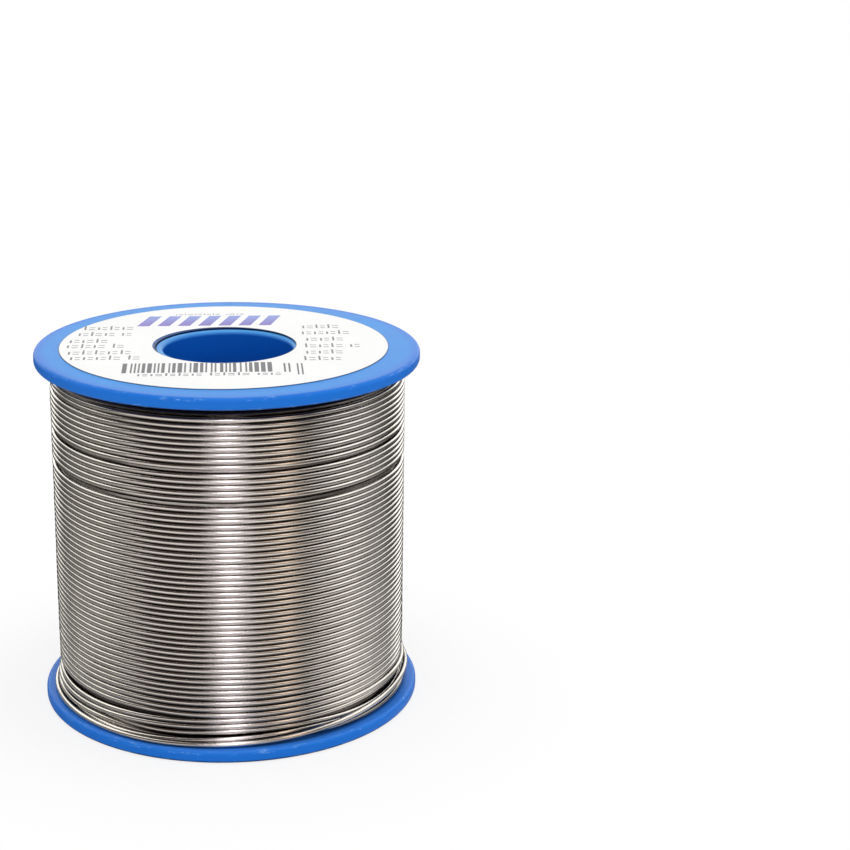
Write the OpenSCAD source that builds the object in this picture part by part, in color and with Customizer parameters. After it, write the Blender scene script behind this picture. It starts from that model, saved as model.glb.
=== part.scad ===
// Reel of flux-cored solder wire: a blue plastic spool of a hub tube and two flanges, wound full
// with one continuous wire, and a paper ring stuck on the upper flange.
// Millimetres, +Z up along the spool's axis, origin at the centre of the lower flange's outer face.
// Azimuths are in degrees from +X, counter-clockwise seen from above.

/* [Flanges] */
// Outer diameter of both flanges
flange_d = 55; // [48:0.5:80]
// Thickness of a flange
flange_t = 1.8; // [1.6:0.1:4]
// Rounding of a flange's two outer edges
flange_edge_r = 0.6; // [0.2:0.1:0.7]

/* [Hub tube] */
// Length of the barrel, which is the space between the flanges
barrel_len = 48.8; // [32:0.2:90]
// Diameter of the bore for a spindle
bore_d = 18.5; // [12:0.5:22]
// Rounding of the bore's lip at both ends
bore_lip_r = 0.6; // [0.1:0.1:0.8]
// Wall round the bore in the spigots that the flanges sit on
spigot_wall = 1.05; // [0.9:0.05:2]
// Width of the shoulder between a spigot and the barrel
shoulder_w = 0.95; // [0.4:0.05:2]
// Depth of the hub's ends below the flanges' outer faces
hub_sink = 0.2; // [0:0.05:0.5]
// Radial clearance between a spigot and its flange
spigot_fit = 0.05; // [0.02:0.01:0.2]

/* [Face label] */
// Thickness of the paper
label_t = 0.1; // [0.05:0.05:0.3]
// Bare rim of the flange outside the label
label_margin = 4; // [1.5:0.5:8]
// Radial width of the hub and flange left bare inside the label's hole
label_reveal = 0.95; // [0.9:0.05:3]
// How far the label was stuck on off centre, along X
label_shift_x = -0.5; // [-0.6:0.1:0.6]
// How far the label was stuck on off centre, along Y
label_shift_y = 0.3; // [-0.6:0.1:0.6]

/* [Winding] */
// Diameter of the solder wire
wire_d = 0.8; // [0.5:0.1:1]
// How far the outer turns stay below the flanges' edge
wire_below_edge = 2.1; // [1.8:0.1:5]
// Loops drawn in the outer layer
loops = 24; // [8:1:24]
// Loops above the upper of the two wider steps of the layer
loops_above_upper_step = 4; // [1:1:5]
// Extra space between the turns at the upper step
upper_step = 0.45; // [0:0.05:0.8]
// Loops above the lower of the two wider steps
loops_above_lower_step = 6; // [2:1:7]
// Extra space between the turns at the lower step
lower_step = 0.75; // [0:0.05:1]
// Azimuth at which the outer layer begins and ends
lay_azimuth = 60; // [30:5:90]
// Clearance of the winding to the hub and flanges, and of its outer layer to the inner ones
lay_gap = 0.05; // [0.02:0.01:0.2]

/* [Inner end of the wire] */
// Diameter of the hole in the lower flange that the wire starts through
start_hole_d = 1.6; // [1.4:0.1:2.4]
// Wall between the start hole and the barrel's surface
start_hole_edge = 0.3; // [0.1:0.1:2]
// Azimuth of the start hole and its slot
start_azimuth = 120; // [100:5:160]
// Length of the wire along its slot, from the hole's centre
start_len = 9; // [5:0.5:9]
// Centre-line radius of the bend from the hole into the slot
start_bend_r = 0.8; // [0.6:0.1:0.9]
// Clearance between the wire and its slot
slot_gap = 0.1; // [0.05:0.05:0.2]

/* [Outer end of the wire] */
// Length of the curved part of the free end
tail_len = 22; // [10:1:22]
// How much wider than the winding the free end springs open, as a radius
tail_open = 3; // [1:0.5:4]
// Tilt of the free end's curve, up off the flange
tail_tilt = 5; // [2:1:8]
// Length of the straight piece at the cut
tail_cut_len = 3; // [2:0.5:4]

/* [Flux core] */
// Diameter of the rosin core in the wire
flux_d = 0.34; // [0.2:0.02:0.36]
// Depth to which the core is drawn at a cut end
flux_len = 1.5; // [0.5:0.1:1.9]
// Radial clearance between the core and the wire
flux_fit = 0.01; // [0.005:0.005:0.02]

/* [Hidden] */

$fn = 96;

FLANGE_BLUE = [0.16, 0.45, 0.85];
HUB_BLUE = [0.13, 0.38, 0.80];
PAPER_WHITE = [0.98, 0.98, 0.97];
SOLDER_SHADE = [0.52, 0.51, 0.49];
SOLDER_BRIGHT = [0.80, 0.79, 0.77];
ROSIN_AMBER = [0.78, 0.52, 0.20];

UP = [0, 0, 1];
THROUGH = 1; // how far a cut runs past the face that it opens

// Hub and flanges
bore_r = bore_d / 2;
spigot_r = bore_r + spigot_wall;
barrel_r = spigot_r + shoulder_w;
flange_r = flange_d / 2;
overall_h = barrel_len + 2 * flange_t;
upper_flange_z = flange_t + barrel_len;

// Winding. Between two rings the turns are straight chords, so the core clears the chords.
rings_per_loop = 24;
turn_sides = 6;
wire_r = wire_d / 2;
lay_r = flange_r - wire_below_edge - wire_r;
core_r = lay_r * cos(180 / rings_per_loop) - wire_r - lay_gap;
core_bottom = flange_t + lay_gap;
core_top = upper_flange_z - lay_gap;
lay_top = core_top - wire_r;
lay_bottom = core_bottom + wire_r;
lay_pitch = (lay_top - lay_bottom - upper_step - lower_step) / loops;
step_turns = 0.25; // part of a turn in which a wider step is made

// Rise of the wire out of a notch in the layers below, on to the outer layer
rise_bend_r = wire_d;
rise_foot_r = lay_r - rise_bend_r - wire_d;
rise_rings = 4;
notch_gap = 2 * lay_gap;

// Free end
tail_bend_r = lay_r + tail_open;
tail_angle = tail_len / tail_bend_r * 180 / PI;

// Inner end
start_r = barrel_r + start_hole_edge + start_hole_d / 2;
start_z = slot_gap + wire_r;

// ---- Path of the wire in the outer layer ----

function unit(v) = v / norm(v);
function ease(x) = x <= 0 ? 0 : x >= 1 ? 1 : x * x * (3 - 2 * x);
function around(r, azimuth, z) = [r * cos(azimuth), r * sin(azimuth), z];

// Foot square in the notch, then a quarter bend from outwards to along the winding
function rise_point(bend) =
    around(lay_r - rise_bend_r * (1 - sin(bend)), lay_azimuth, lay_top)
    + around(rise_bend_r * (1 - cos(bend)), lay_azimuth + 90, 0);

first_azimuth = lay_azimuth + atan(rise_bend_r / lay_r);

function lay_z(turn) =
    lay_top - lay_pitch * turn
    - upper_step * ease((turn - loops_above_upper_step) / step_turns)
    - lower_step * ease((turn - loops_above_lower_step) / step_turns);

function lay_point(turn) = around(lay_r, first_azimuth + 360 * turn, lay_z(turn));

lay_end = lay_point(loops);
end_direction = unit(lay_end - lay_point(loops - 0.01));
turns_end = lay_end + wire_d * end_direction;

turn_points = concat(
    [around(rise_foot_r, lay_azimuth, lay_top)],
    [for (step = [0 : rise_rings]) rise_point(90 * step / rise_rings)],
    [for (ring = [1 : loops * rings_per_loop]) lay_point(ring / rings_per_loop)],
    [turns_end]);

// Least distance between points at least half a loop apart, less the wire's own thickness
half_loop = rings_per_loop / 2;
least_gap = min([
    for (i = [0 : len(turn_points) - 1 - half_loop])
        for (j = [i + half_loop : min(i + 3 * half_loop, len(turn_points) - 1)])
            norm(turn_points[j] - turn_points[i])]) - wire_d;
echo(str("Outer turns: ", loops, " loops, least gap to themselves ", least_gap, " mm"));

// ---- The free end: an arc that goes on from the outer layer, then a straight piece ----

// From the last turn towards the arc's centre: inwards, and a little up
azimuth_of_end = atan2(turns_end.y, turns_end.x);
towards_axis = around(-cos(tail_tilt), azimuth_of_end, sin(tail_tilt));
tail_inward = unit(towards_axis - (towards_axis * end_direction) * end_direction);
tail_centre = turns_end + tail_bend_r * tail_inward;

// Directions at the arc's far end, where the straight piece begins
tail_outward = sin(tail_angle) * end_direction - cos(tail_angle) * tail_inward;
tail_direction = cos(tail_angle) * end_direction + sin(tail_angle) * tail_inward;

// ---- Shared shapes ----

// Round wire through points, as triangles, its end faces square to the given directions
module swept_wire(points, first_direction, last_direction, sides) {
    last = len(points) - 1;
    directions = [for (i = [0 : last])
        i == 0 ? first_direction :
        i == last ? last_direction : unit(points[i + 1] - points[i - 1])];
    corners = [for (i = [0 : last])
        let (up = unit(UP - (UP * directions[i]) * directions[i]), side = cross(up, directions[i]))
        for (k = [0 : sides - 1])
            points[i] + wire_r * (cos(360 * k / sides) * side + sin(360 * k / sides) * up)];
    walls = [for (i = [0 : last - 1]) for (k = [0 : sides - 1])
        let (a = i * sides + k, b = i * sides + (k + 1) % sides, c = b + sides, d = a + sides)
        each [[a, d, c], [a, c, b]]];
    end_faces = [for (k = [1 : sides - 2])
        each [[0, k, k + 1], [last * sides, last * sides + k + 1, last * sides + k]]];
    polyhedron(points = corners, faces = concat(walls, end_faces));
}

// Puts its children at the centre of the free end's arc, with +X to the arc's far end and
// +Y back along the wire
module at_tail_centre() {
    x = tail_outward;
    y = -tail_direction;
    z = cross(x, y);
    multmatrix([
        [x.x, y.x, z.x, tail_centre.x],
        [x.y, y.y, z.y, tail_centre.y],
        [x.z, y.z, z.z, tail_centre.z]])
            children();
}

// Bore of the flux in the wire, drawn from the cut face back along -Z
module flux_bore() {
    translate([0, 0, -flux_len])
        cylinder(h = flux_len + THROUGH, d = flux_d + 2 * flux_fit, $fn = 32);
}

module flux_plug() {
    translate([0, 0, -flux_len])
        cylinder(h = flux_len, d = flux_d, $fn = 32);
}

module flange_disc() {
    hole_r = spigot_r + spigot_fit;
    round_at = flange_r - flange_edge_r;
    rotate_extrude() {
        translate([hole_r, 0])
            square([round_at - hole_r, flange_t]);
        translate([round_at, flange_edge_r])
            square([flange_edge_r, flange_t - 2 * flange_edge_r]);
        for (height = [flange_edge_r, flange_t - flange_edge_r])
            translate([round_at, height])
                circle(r = flange_edge_r);
    }
}

// Put their children at the wire's two cut faces, with +Z out of the wire
module at_start_cut() {
    rotate([0, 0, start_azimuth])
        translate([start_r + start_len, 0, start_z])
            rotate([0, 90, 0])
                children();
}

module at_tail_cut() {
    at_tail_centre()
        translate([tail_bend_r, -tail_cut_len, 0])
            rotate([90, 0, 0])
                children();
}

// ---- The pieces ----

module hub_tube() {
    lip_r = bore_r + bore_lip_r;
    color(HUB_BLUE)
        rotate_extrude() {
            // Barrel, and the shoulders that the flanges sit against
            translate([bore_r, flange_t])
                square([barrel_r - bore_r, barrel_len]);
            // Spigots, with the rounded lips of the bore
            translate([lip_r, hub_sink])
                square([spigot_r - lip_r, overall_h - 2 * hub_sink]);
            translate([bore_r, hub_sink + bore_lip_r])
                square([spigot_wall, overall_h - 2 * (hub_sink + bore_lip_r)]);
            for (height = [hub_sink + bore_lip_r, overall_h - hub_sink - bore_lip_r])
                translate([lip_r, height])
                    circle(r = bore_lip_r);
        }
}

module upper_flange() {
    color(FLANGE_BLUE)
        translate([0, 0, upper_flange_z])
            flange_disc();
}

module lower_flange() {
    slot_w = wire_d + 2 * slot_gap;
    slot_depth = wire_d + 2 * slot_gap;
    color(FLANGE_BLUE)
        difference() {
            flange_disc();
            rotate([0, 0, start_azimuth])
                translate([start_r, 0, 0]) {
                    translate([0, 0, -THROUGH])
                        cylinder(h = flange_t + 2 * THROUGH, d = start_hole_d, $fn = 48);
                    translate([0, -slot_w / 2, -THROUGH])
                        cube([start_len + slot_gap, slot_w, slot_depth + THROUGH]);
                }
        }
}

module face_label() {
    color(PAPER_WHITE)
        translate([label_shift_x, label_shift_y, overall_h])
            difference() {
                cylinder(h = label_t, r = flange_r - label_margin);
                translate([0, 0, -THROUGH])
                    cylinder(h = label_t + 2 * THROUGH, r = bore_r + label_reveal);
            }
}

module wire_core() {
    notch_w = wire_d + 2 * notch_gap;
    color(SOLDER_SHADE)
        difference() {
            rotate_extrude()
                translate([barrel_r + lay_gap, core_bottom])
                    square([core_r - barrel_r - lay_gap, core_top - core_bottom]);
            // Notch in the top edge, where the wire comes up to the outer layer
            translate([0, 0, lay_top])
                rotate([0, 0, lay_azimuth])
                    translate([rise_foot_r, 0, 0]) {
                        rotate([0, 90, 0])
                            cylinder(h = lay_r - rise_foot_r, d = notch_w, $fn = 48);
                        translate([0, -notch_w / 2, 0])
                            cube([lay_r - rise_foot_r, notch_w, wire_d]);
                    }
        }
}

module wire_turns() {
    color(SOLDER_BRIGHT)
        swept_wire(turn_points, around(1, lay_azimuth, 0), end_direction, turn_sides);
}

module wire_start() {
    bend_z = start_z + start_bend_r;
    color(SOLDER_BRIGHT)
        difference() {
            rotate([0, 0, start_azimuth]) {
                translate([start_r, 0, bend_z])
                    cylinder(h = core_bottom - bend_z, d = wire_d, $fn = 48);
                translate([start_r + start_bend_r, 0, bend_z])
                    rotate([90, 180, 0])
                        rotate_extrude(angle = 90)
                            translate([start_bend_r, 0])
                                circle(d = wire_d, $fn = 48);
                translate([start_r + start_bend_r, 0, start_z])
                    rotate([0, 90, 0])
                        cylinder(h = start_len - start_bend_r, d = wire_d, $fn = 48);
            }
            at_start_cut()
                flux_bore();
        }
}

module wire_tail() {
    color(SOLDER_BRIGHT)
        difference() {
            at_tail_centre() {
                rotate_extrude(angle = tail_angle)
                    translate([tail_bend_r, 0])
                        circle(d = wire_d, $fn = 48);
                translate([tail_bend_r, 0, 0])
                    rotate([90, 0, 0])
                        cylinder(h = tail_cut_len, d = wire_d, $fn = 48);
            }
            at_tail_cut()
                flux_bore();
        }
}

module flux_core() {
    color(ROSIN_AMBER) {
        at_start_cut()
            flux_plug();
        at_tail_cut()
            flux_plug();
    }
}

hub_tube();
upper_flange();
lower_flange();
face_label();
wire_core();
wire_turns();
wire_start();
wire_tail();
flux_core();
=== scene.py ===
import math
import random

import bmesh
import bpy
import numpy as np
from mathutils import Matrix, Vector


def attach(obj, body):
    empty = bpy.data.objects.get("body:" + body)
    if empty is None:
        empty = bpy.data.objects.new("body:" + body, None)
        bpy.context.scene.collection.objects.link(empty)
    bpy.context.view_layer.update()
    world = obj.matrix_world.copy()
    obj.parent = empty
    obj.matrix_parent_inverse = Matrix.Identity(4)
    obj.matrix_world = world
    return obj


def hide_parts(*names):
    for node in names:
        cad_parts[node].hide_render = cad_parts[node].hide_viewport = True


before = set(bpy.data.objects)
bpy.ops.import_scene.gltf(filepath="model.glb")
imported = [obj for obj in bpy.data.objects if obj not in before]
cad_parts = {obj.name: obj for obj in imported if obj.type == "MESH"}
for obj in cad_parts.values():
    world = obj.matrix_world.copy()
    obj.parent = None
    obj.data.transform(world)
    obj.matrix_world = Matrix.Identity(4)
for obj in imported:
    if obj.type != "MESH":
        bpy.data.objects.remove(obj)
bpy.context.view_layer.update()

# ==== Hub tube ====
# The tube that the wire is wound on, injection moulded in blue polystyrene. A spindle runs
# through its bore, whose lips are rounded, and a flange is pressed on to each end.

MM = 0.001
BORE_R = 9.25
BORE_LIP_R = 0.6
SPIGOT_R = 10.3
BARREL_R = 11.25
HUB_SINK = 0.2
FLANGE_T = 1.8
OVERALL_H = 52.4
ROUND_SEGMENTS = 256


class Value:
    """A socket of a material's node tree. Arithmetic on it adds Math nodes to the tree."""

    def __init__(self, tree, socket=None):
        self.tree, self.socket = tree, socket

    def node(self, kind, settings=(), sockets=(), out=0):
        """Adds a node, with its settings first, then the values or links of its sockets."""
        made = self.tree.nodes.new(kind)
        for name, setting in dict(settings).items():
            if name == "stops":
                ramp = made.color_ramp
                while len(ramp.elements) < len(setting):
                    ramp.elements.new(1.0)
                for element, (place, colour) in zip(ramp.elements, setting):
                    element.position, element.color = place, (*colour, 1.0)
            else:
                setattr(made, name, setting)
        for name, value in dict(sockets).items():
            self.feed(made.inputs[name], value)
        return Value(self.tree, made.outputs[out])

    def feed(self, socket, value):
        if isinstance(value, Value):
            self.tree.links.new(value.socket, socket)
        elif isinstance(value, tuple) and len(value) == 3 and socket.type == "RGBA":
            socket.default_value = (*value, 1.0)
        else:
            socket.default_value = value

    def maths(self, operation, *values):
        return self.node("ShaderNodeMath", {"operation": operation}, enumerate(values))

    def clamp(self):
        return self.node("ShaderNodeClamp", (), {"Value": self})

    def between(self, low, high):
        """0 where the value is at low, 1 at high, with a soft step between them."""
        return self.node(
            "ShaderNodeMapRange",
            {"interpolation_type": "SMOOTHSTEP"},
            {"Value": self, "From Min": low, "From Max": high},
        )

    def mix(self, first, second):
        """From the first colour where the value is 0 to the second where it is 1."""
        # A Mix node's sockets share their names, so its colours go by number
        sockets = {0: self, 6: first, 7: second}
        return self.node("ShaderNodeMix", {"data_type": "RGBA"}, sockets, out=2)

    def __add__(self, other):
        return self.maths("ADD", self, other)

    def __radd__(self, other):
        return self.maths("ADD", other, self)

    def __sub__(self, other):
        return self.maths("SUBTRACT", self, other)

    def __rsub__(self, other):
        return self.maths("SUBTRACT", other, self)

    def __mul__(self, other):
        return self.maths("MULTIPLY", self, other)

    def __rmul__(self, other):
        return self.maths("MULTIPLY", other, self)

    def __pow__(self, other):
        return self.maths("POWER", self, other)

    def __neg__(self):
        return 0 - self

    def __abs__(self):
        return self.maths("ABSOLUTE", self)


def new_finish(name, constants):
    """A material, its Principled shader with the constant values set, and a Value to build on."""
    material = bpy.data.materials.new(name)
    material.use_nodes = True
    shader = material.node_tree.nodes["Principled BSDF"]
    for socket, value in constants.items():
        shader.inputs[socket].default_value = value
    return material, shader, Value(material.node_tree)


def place_on_object(start, stretch=(1, 1, 1)):
    """Object coordinates in millimetres, stretched along each axis."""
    place = start.node("ShaderNodeTexCoord", out="Object")
    return start.node(
        "ShaderNodeMapping",
        {"vector_type": "POINT"},
        {"Vector": place, "Scale": tuple(s / MM for s in stretch)},
    )


def bearing(start):
    """The way round the reel in degrees, 0 in front and positive to its right, with x, y and z."""
    parts = start.node("ShaderNodeSeparateXYZ", (), {"Vector": place_on_object(start)})
    x, y, z = (Value(start.tree, s) for s in parts.socket.node.outputs)
    return x.maths("ARCTAN2", x, -y) * (180 / math.pi), x, y, z


def noise(place, scale, detail=3.0, roughness=0.55):
    return place.node(
        "ShaderNodeTexNoise",
        {"noise_dimensions": "3D"},
        {"Vector": place, "Scale": scale, "Detail": detail, "Roughness": roughness},
    )


def add_bumps(start, shader, height, strength, distance):
    """Bumps by a height, of which 1 stands for a distance in millimetres."""
    sockets = {"Strength": strength, "Distance": distance * MM, "Height": height}
    start.feed(shader.inputs["Normal"], start.node("ShaderNodeBump", (), sockets))


# The distances from the reel's middle at which a flange's inner colour, painted shade, begins and
# is full
INNER_FACE = (OVERALL_H / 2 - FLANGE_T + 0.35, OVERALL_H / 2 - FLANGE_T + 0.02)


def moulded_blue(name, deep, fresh, wall_shade, inner, inner_shade_from=INNER_FACE):
    """Satin moulded polystyrene: faint flow marks, a finely dulled skin, scuffed edges and painted
    shade.
    """
    # Its radii and heights are in millimetres
    material, shader, start = new_finish(name, {"IOR": 1.5, "Specular IOR Level": 0.11})
    place = place_on_object(start)
    round_at, x, y, z = bearing(start)
    radius = (x * x + y * y) ** 0.5
    flow = noise(place, 0.11, 4.0)
    skin = noise(place, 2.2, 3.0)
    colour = flow.between(0.3, 0.72).mix(deep, fresh)
    # Scuffs: fine broken streaks round the rims' two edges, where the reel is knocked and rolled
    from_middle = abs(z - OVERALL_H / 2)
    from_wall = abs(from_middle - (OVERALL_H - FLANGE_T) / 2)
    near_edge = radius.between(26.75, 27.2) * from_wall.between(0.36, 0.56)
    around = {"X": round_at * 0.17, "Y": z * 1.7, "Z": radius * 1.7}
    streaks = noise(start.node("ShaderNodeCombineXYZ", (), around), 1.1, 5.0, 0.7)
    fine = noise(place, 5.5, 2.0)
    speck = streaks.between(0.54, 0.68) * fine.between(0.30, 0.60) * near_edge
    # Painted shade: the rim's outer wall takes its own deeper colour
    outer_colour = radius.between(25.3, 27.45).mix(colour, wall_shade)
    # Painted shade: the faces between the flanges and the hub's bore take the inner colour, and a
    # darker navy close to the wire, in the recess round the spigot and on the edge the reel stands
    # on
    side_colour = from_middle.between(*inner_shade_from).mix(outer_colour, inner)
    # Painted shade on the faces between the flanges, close to the wire
    shade_by_wire = radius.between(26.4, 25.5) * radius.between(11.0, 12.0) * 0.4
    # A painted shade line in the recess round the spigot
    joint_shade = radius.between(SPIGOT_R - 0.18, SPIGOT_R)
    joint_shade = joint_shade * radius.between(SPIGOT_R + 0.45, SPIGOT_R + 0.2)
    # Painted shade on the bottom edge that the reel stands on
    foot = z.between(0.55, 0.15) * radius.between(26.85, 27.15)
    dark = (joint_shade + shade_by_wire * from_middle.between(*INNER_FACE) + foot).clamp()
    shaded_colour = dark.mix(side_colour, (0.002, 0.014, 0.08))
    start.feed(
        shader.inputs["Base Color"], (speck * 0.7).mix(shaded_colour, (0.24, 0.50, 0.90))
    )
    start.feed(shader.inputs["Roughness"], 0.27 + skin * 0.12 + flow * 0.06 + speck * 0.25)
    bumps = skin * 0.5 + noise(place, 0.5, 2.0) * 1.3 + speck * 0.8
    add_bumps(start, shader, bumps, 0.10, 0.05)
    return material


def rounded_outline(corners, steps=6, support=0.06):
    """A closed outline from (r, z, fillet) corners, with one more point at each end of an arc."""
    points = []
    count = len(corners)
    for i, (r, z, fillet) in enumerate(corners):
        here = Vector((r, z))
        if fillet <= 0:
            points.append(here)
            continue
        back = (Vector(corners[i - 1][:2]) - here).normalized()
        ahead = (Vector(corners[(i + 1) % count][:2]) - here).normalized()
        half = back.angle(ahead) / 2
        reach = fillet / math.tan(half)
        centre = here + (back + ahead).normalized() * (fillet / math.sin(half))
        first, last = here + back * reach, here + ahead * reach
        points.append(first + back * support)
        turn = (first - centre).angle_signed(last - centre)
        for k in range(steps + 1):
            a = -turn * k / steps
            c, s = math.cos(a), math.sin(a)
            d = first - centre
            points.append(centre + Vector((c * d.x - s * d.y, s * d.x + c * d.y)))
        points.append(last + ahead * support)
    return points


def placed(name, data):
    """An object with this data, put in the scene."""
    thing = bpy.data.objects.new(name, data)
    bpy.context.scene.collection.objects.link(thing)
    return thing


def plain_mesh(name, build, material, smooth_below=32.0):
    """A piece from bmesh code: doubles merged, faces outwards, smooth except at real edges."""
    bm = bmesh.new()
    build(bm)
    bmesh.ops.remove_doubles(bm, verts=bm.verts, dist=1e-7)
    bmesh.ops.recalc_face_normals(bm, faces=bm.faces)
    mesh = bpy.data.meshes.new(name)
    bm.to_mesh(mesh)
    bm.free()
    mesh.shade_smooth()
    mesh.set_sharp_from_angle(angle=math.radians(smooth_below))
    mesh.materials.append(material)
    return placed(name, mesh)


def turned(outline, segments=ROUND_SEGMENTS, centre=(0.0, 0.0)):
    """Revolves a closed outline of (r, z) points round the vertical axis through centre."""

    def build(bm):
        rings = []
        for k in range(segments):
            a = 2 * math.pi * k / segments
            rings.append(
                [
                    bm.verts.new(
                        (
                            (centre[0] + p.x * math.cos(a)) * MM,
                            (centre[1] + p.x * math.sin(a)) * MM,
                            p.y * MM,
                        )
                    )
                    for p in outline
                ]
            )
        for k in range(segments):
            here, there = rings[k], rings[(k + 1) % segments]
            for i in range(len(outline)):
                j = (i + 1) % len(outline)
                bm.faces.new((here[i], there[i], there[j], here[j]))

    return build


# Its lips take two light blues, a painted highlight, and the bore and barrel the dark inner
# colour, painted shade
hub_blue = moulded_blue(
    "moulded_blue_hub",
    (0.060, 0.300, 0.72),
    (0.070, 0.340, 0.78),
    (0.004, 0.120, 0.57),
    (0.004, 0.120, 0.57),
    (26.0, 25.35),
)
hub_corners = [
    (BORE_R, HUB_SINK, BORE_LIP_R),
    (SPIGOT_R, HUB_SINK, 0.12),
    (SPIGOT_R, FLANGE_T, 0),
    (BARREL_R, FLANGE_T, 0.1),
    (BARREL_R, OVERALL_H - FLANGE_T, 0.1),
    (SPIGOT_R, OVERALL_H - FLANGE_T, 0),
    (SPIGOT_R, OVERALL_H - HUB_SINK, 0.12),
    (BORE_R, OVERALL_H - HUB_SINK, BORE_LIP_R),
]
hub = plain_mesh("hub_moulding", turned(rounded_outline(hub_corners)), hub_blue)
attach(hub, "root")
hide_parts("hub_tube")

# ==== Lower flange ====
# A moulded disc with rounded edges, pressed on the hub's lower spigot. A small hole by the
# barrel lets the wire's inner end through, and a slot in the outer face takes it.

FLANGE_R = 27.5
FLANGE_EDGE_R = 0.6
FLANGE_HOLE_R = 10.35
START_AZIMUTH = math.radians(120)
START_R = 12.35
START_HOLE_R = 0.8
START_LEN = 9.0
SLOT_W = 1.0


def flange_outline(bottom):
    return rounded_outline(
        [
            (FLANGE_HOLE_R, bottom, 0.1),
            (FLANGE_R, bottom, FLANGE_EDGE_R),
            (FLANGE_R, bottom + FLANGE_T, FLANGE_EDGE_R),
            (FLANGE_HOLE_R, bottom + FLANGE_T, 0.1),
        ],
        steps=8,
    )


def slot_cutter(bm):
    """The start hole's cylinder and the slot's round-bottomed channel, as closed solids."""
    turn = Matrix.Rotation(START_AZIMUTH, 4, "Z")
    sides, bend_steps = 48, 12
    bmesh.ops.create_cone(
        bm,
        cap_ends=True,
        segments=sides,
        radius1=START_HOLE_R * MM,
        radius2=START_HOLE_R * MM,
        depth=4 * MM,
        matrix=turn
        @ Matrix.Translation((START_R * MM, 0, FLANGE_T / 2 * MM))
        @ Matrix.Rotation(math.pi / sides, 4, "Z"),
    )
    half = SLOT_W / 2
    rim = [Vector((-half, -1.0)), Vector((half, -1.0))]
    for k in range(bend_steps + 1):
        a = math.pi * k / bend_steps
        rim.append(Vector((half * math.cos(a), half + half * math.sin(a))))
    ends = []
    for x in (START_R, START_R + START_LEN + 0.1):
        ends.append(
            [bm.verts.new(turn @ Vector((x * MM, p.x * MM, p.y * MM))) for p in rim]
        )
    for i in range(len(rim)):
        j = (i + 1) % len(rim)
        bm.faces.new((ends[0][i], ends[0][j], ends[1][j], ends[1][i]))
    bm.faces.new(ends[0][::-1])
    bm.faces.new(ends[1])


def baked(piece):
    """The piece with its modifiers worked into a plain mesh, and taken off."""
    graph = bpy.context.evaluated_depsgraph_get()
    mesh = bpy.data.meshes.new_from_object(piece.evaluated_get(graph))
    piece.modifiers.clear()
    piece.data = mesh
    return piece


FLANGE_BLUES = ((0.004, 0.235, 0.72), (0.010, 0.270, 0.77), (0.012, 0.175, 0.69))
# Its face towards the wire takes its own bluer tone, painted shade by the winding
lower_blue = moulded_blue("moulded_blue_lower", *FLANGE_BLUES, (0.035, 0.215, 0.78))
lower = plain_mesh("lower_flange_moulding", turned(flange_outline(0.0)), lower_blue)
cutter = plain_mesh("start_slot_cutter", slot_cutter, lower_blue)
cut = lower.modifiers.new("start hole and slot", "BOOLEAN")
cut.operation, cut.solver, cut.object = "DIFFERENCE", "EXACT", cutter
cut.use_self = True
baked(lower)
bpy.data.objects.remove(cutter)
lower.data.set_sharp_from_angle(angle=math.radians(32))
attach(lower, "root")
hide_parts("lower_flange")

# ==== Inner layers of the winding ====
# Tin-lead solder wire, laid turn by turn from the barrel outwards. Eighteen packed layers are
# one body. The layer on them is wire, since it shows where the outer turns stand apart, and it
# climbs to the top, from where the outer layer comes back down.

DRAWN_D = 0.775
CORE_BOTTOM, CORE_TOP = 1.85, 50.55
UNDER_R = 24.35
CORE_BODY_R = 24.0
LAY_TOP = 50.15
UNDER_TURNS = 60
UNDER_PITCH = 0.788
RISE_AZIMUTH = 40.0


def drawn_solder(name, bright, dull, roughness, buried_shade=0.0):
    """Drawn tin-lead wire: bright metal with fine lengthwise marks, patchy tarnish and painted
    shade in its grooves.
    """
    material, shader, start = new_finish(name, {"Metallic": 1.0})
    place = place_on_object(start)
    drawn = noise(place_on_object(start, (0.22, 0.22, 3.0)), 2.4, 4.0, 0.65)
    patches = noise(place_on_object(start, (1.0, 1.0, 2.0)), 0.32, 4.0, 0.6)
    fine = noise(place, 7.0, 3.0, 0.6)
    round_at, _, _, z = bearing(start)
    aside = abs(round_at)
    # Painted shade in the grooves, weaker at the sides and nearly gone in a narrow column in
    # front, a painted glow where the window shows
    beside = aside.between(24.0, 46.0) * (1 - (aside + round_at * 0.04).between(55.0, 67.0))
    groove = start.node("ShaderNodeAttribute", {"attribute_name": "groove"}, out="Fac")
    across = abs(round_at + 1.0)
    groove_shade = groove * (1 - beside * 0.95) * (0.04 + across.between(3.0, 9.0) * 0.96)
    bright_colour = patches.between(0.32, 0.70).mix(bright, dull)
    # Painted shade where it lies deep: under the flange, in the layer below and under the loose
    # end
    under_flange_shade = z.between(LAY_TOP - 0.9, LAY_TOP - 0.4) * round_at.between(-48.0, -24.0)
    under_end_shade = z.between(3.05, 2.75) * round_at.between(30.0, 42.0) * 0.6
    deep = under_flange_shade * round_at.between(150.0, 100.0) + under_end_shade * round_at.between(88.0, 66.0)
    deep = deep + z.between(8.6, 7.6) * buried_shade
    tarnish_and_shade = (groove_shade + patches.between(0.62, 0.82) * 0.10 + deep).clamp()
    start.feed(shader.inputs["Base Color"], tarnish_and_shade.mix(bright_colour, (0.045, 0.036, 0.030)))
    dulled = drawn * 0.07 + patches * 0.05 + groove_shade * 0.25
    start.feed(shader.inputs["Roughness"], roughness + dulled)
    add_bumps(start, shader, drawn * 1.1 + fine * 0.35 + patches * 0.8, 0.20, 0.02)
    return material


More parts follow.
